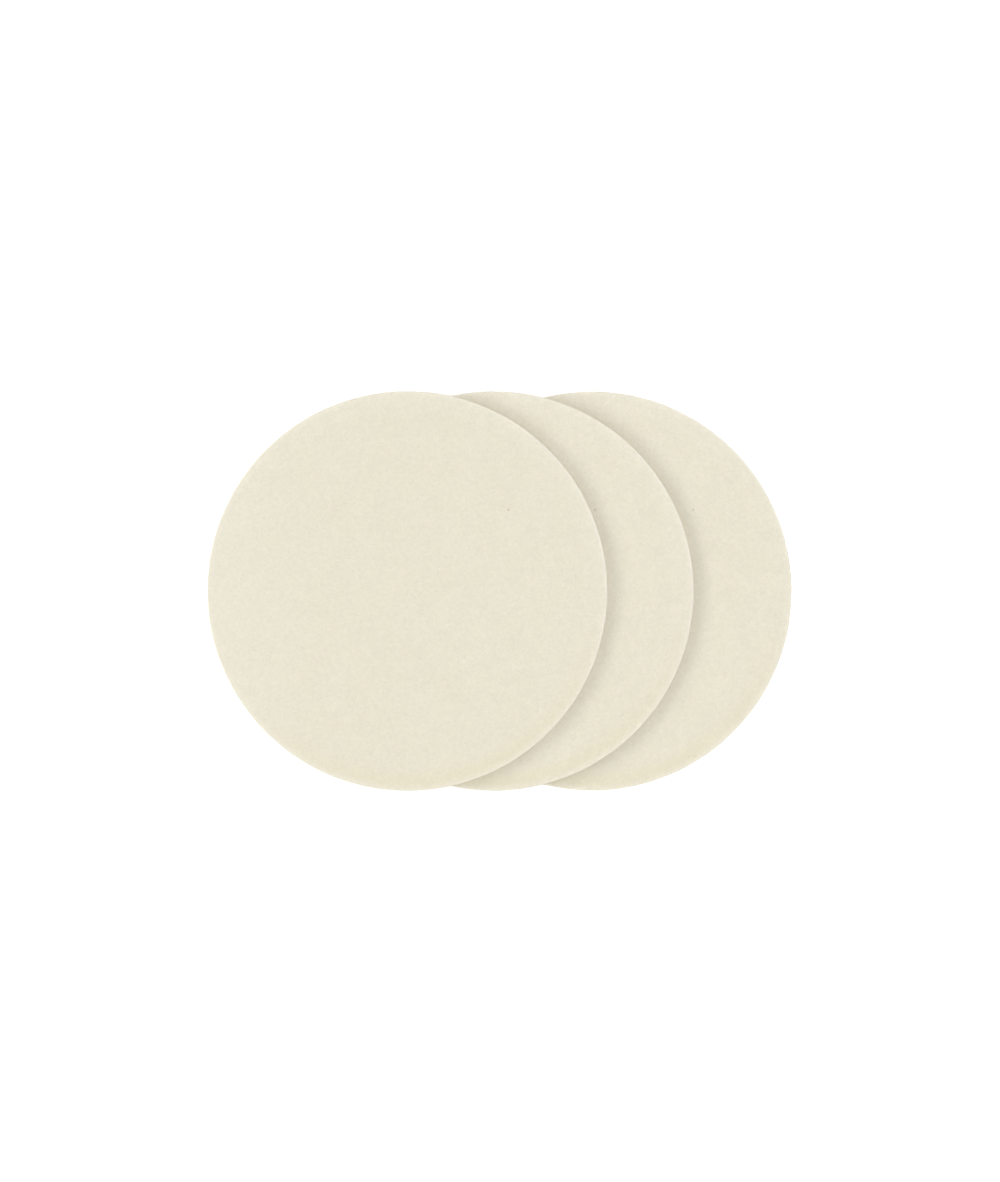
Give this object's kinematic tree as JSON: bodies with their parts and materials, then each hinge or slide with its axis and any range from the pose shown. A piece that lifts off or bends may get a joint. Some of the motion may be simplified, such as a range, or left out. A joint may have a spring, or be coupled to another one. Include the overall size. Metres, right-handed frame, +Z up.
{
  "type": "felt polishing disc set",
  "caption": "Thin round wool felt discs with peel-off adhesive backs, lying fanned on one another, for polishing stones on a flat lap plate.",
  "frame": {"origin": "centre of the fanned set's footprint, on the surface that it lies on", "axes": "+X along the fan, from the top disc towards the bottom disc; +Z up out of the felt's polishing faces"},
  "size_m": [0.223, 0.1524, 0.0106],
  "materials": {
    "wool_felt": "matte",
    "adhesive_film": "satin",
    "release_liner": "matte"
  },
  "bodies": {
    "bottom_liner": {"bottom_release_liner": "release_liner"},
    "bottom_disc": {"bottom_adhesive_film": "adhesive_film", "bottom_felt_disc": "wool_felt"},
    "middle_liner": {"middle_release_liner": "release_liner"},
    "middle_disc": {"middle_adhesive_film": "adhesive_film", "middle_felt_disc": "wool_felt"},
    "top_liner": {"top_release_liner": "release_liner"},
    "top_disc": {"top_adhesive_film": "adhesive_film", "top_felt_disc": "wool_felt"}
  },
  "joints": [
    {"name": "bottom_disc_peel", "type": "slide", "parent": "bottom_liner", "child": "bottom_disc", "axis": [0, 0, 1], "range_m": [0, 0.06]},
    {"name": "middle_disc_slide", "type": "slide", "parent": "bottom_disc", "child": "middle_liner", "axis": [1, 0, 0], "range_m": [-0.01, 0.0375]},
    {"name": "middle_disc_peel", "type": "slide", "parent": "middle_liner", "child": "middle_disc", "axis": [0, 0, 1], "range_m": [0, 0.06]},
    {"name": "top_disc_slide", "type": "slide", "parent": "middle_disc", "child": "top_liner", "axis": [1, 0, 0], "range_m": [-0.01, 0.033]},
    {"name": "top_disc_peel", "type": "slide", "parent": "top_liner", "child": "top_disc", "axis": [0, 0, 1], "range_m": [0, 0.06]}
  ]
}
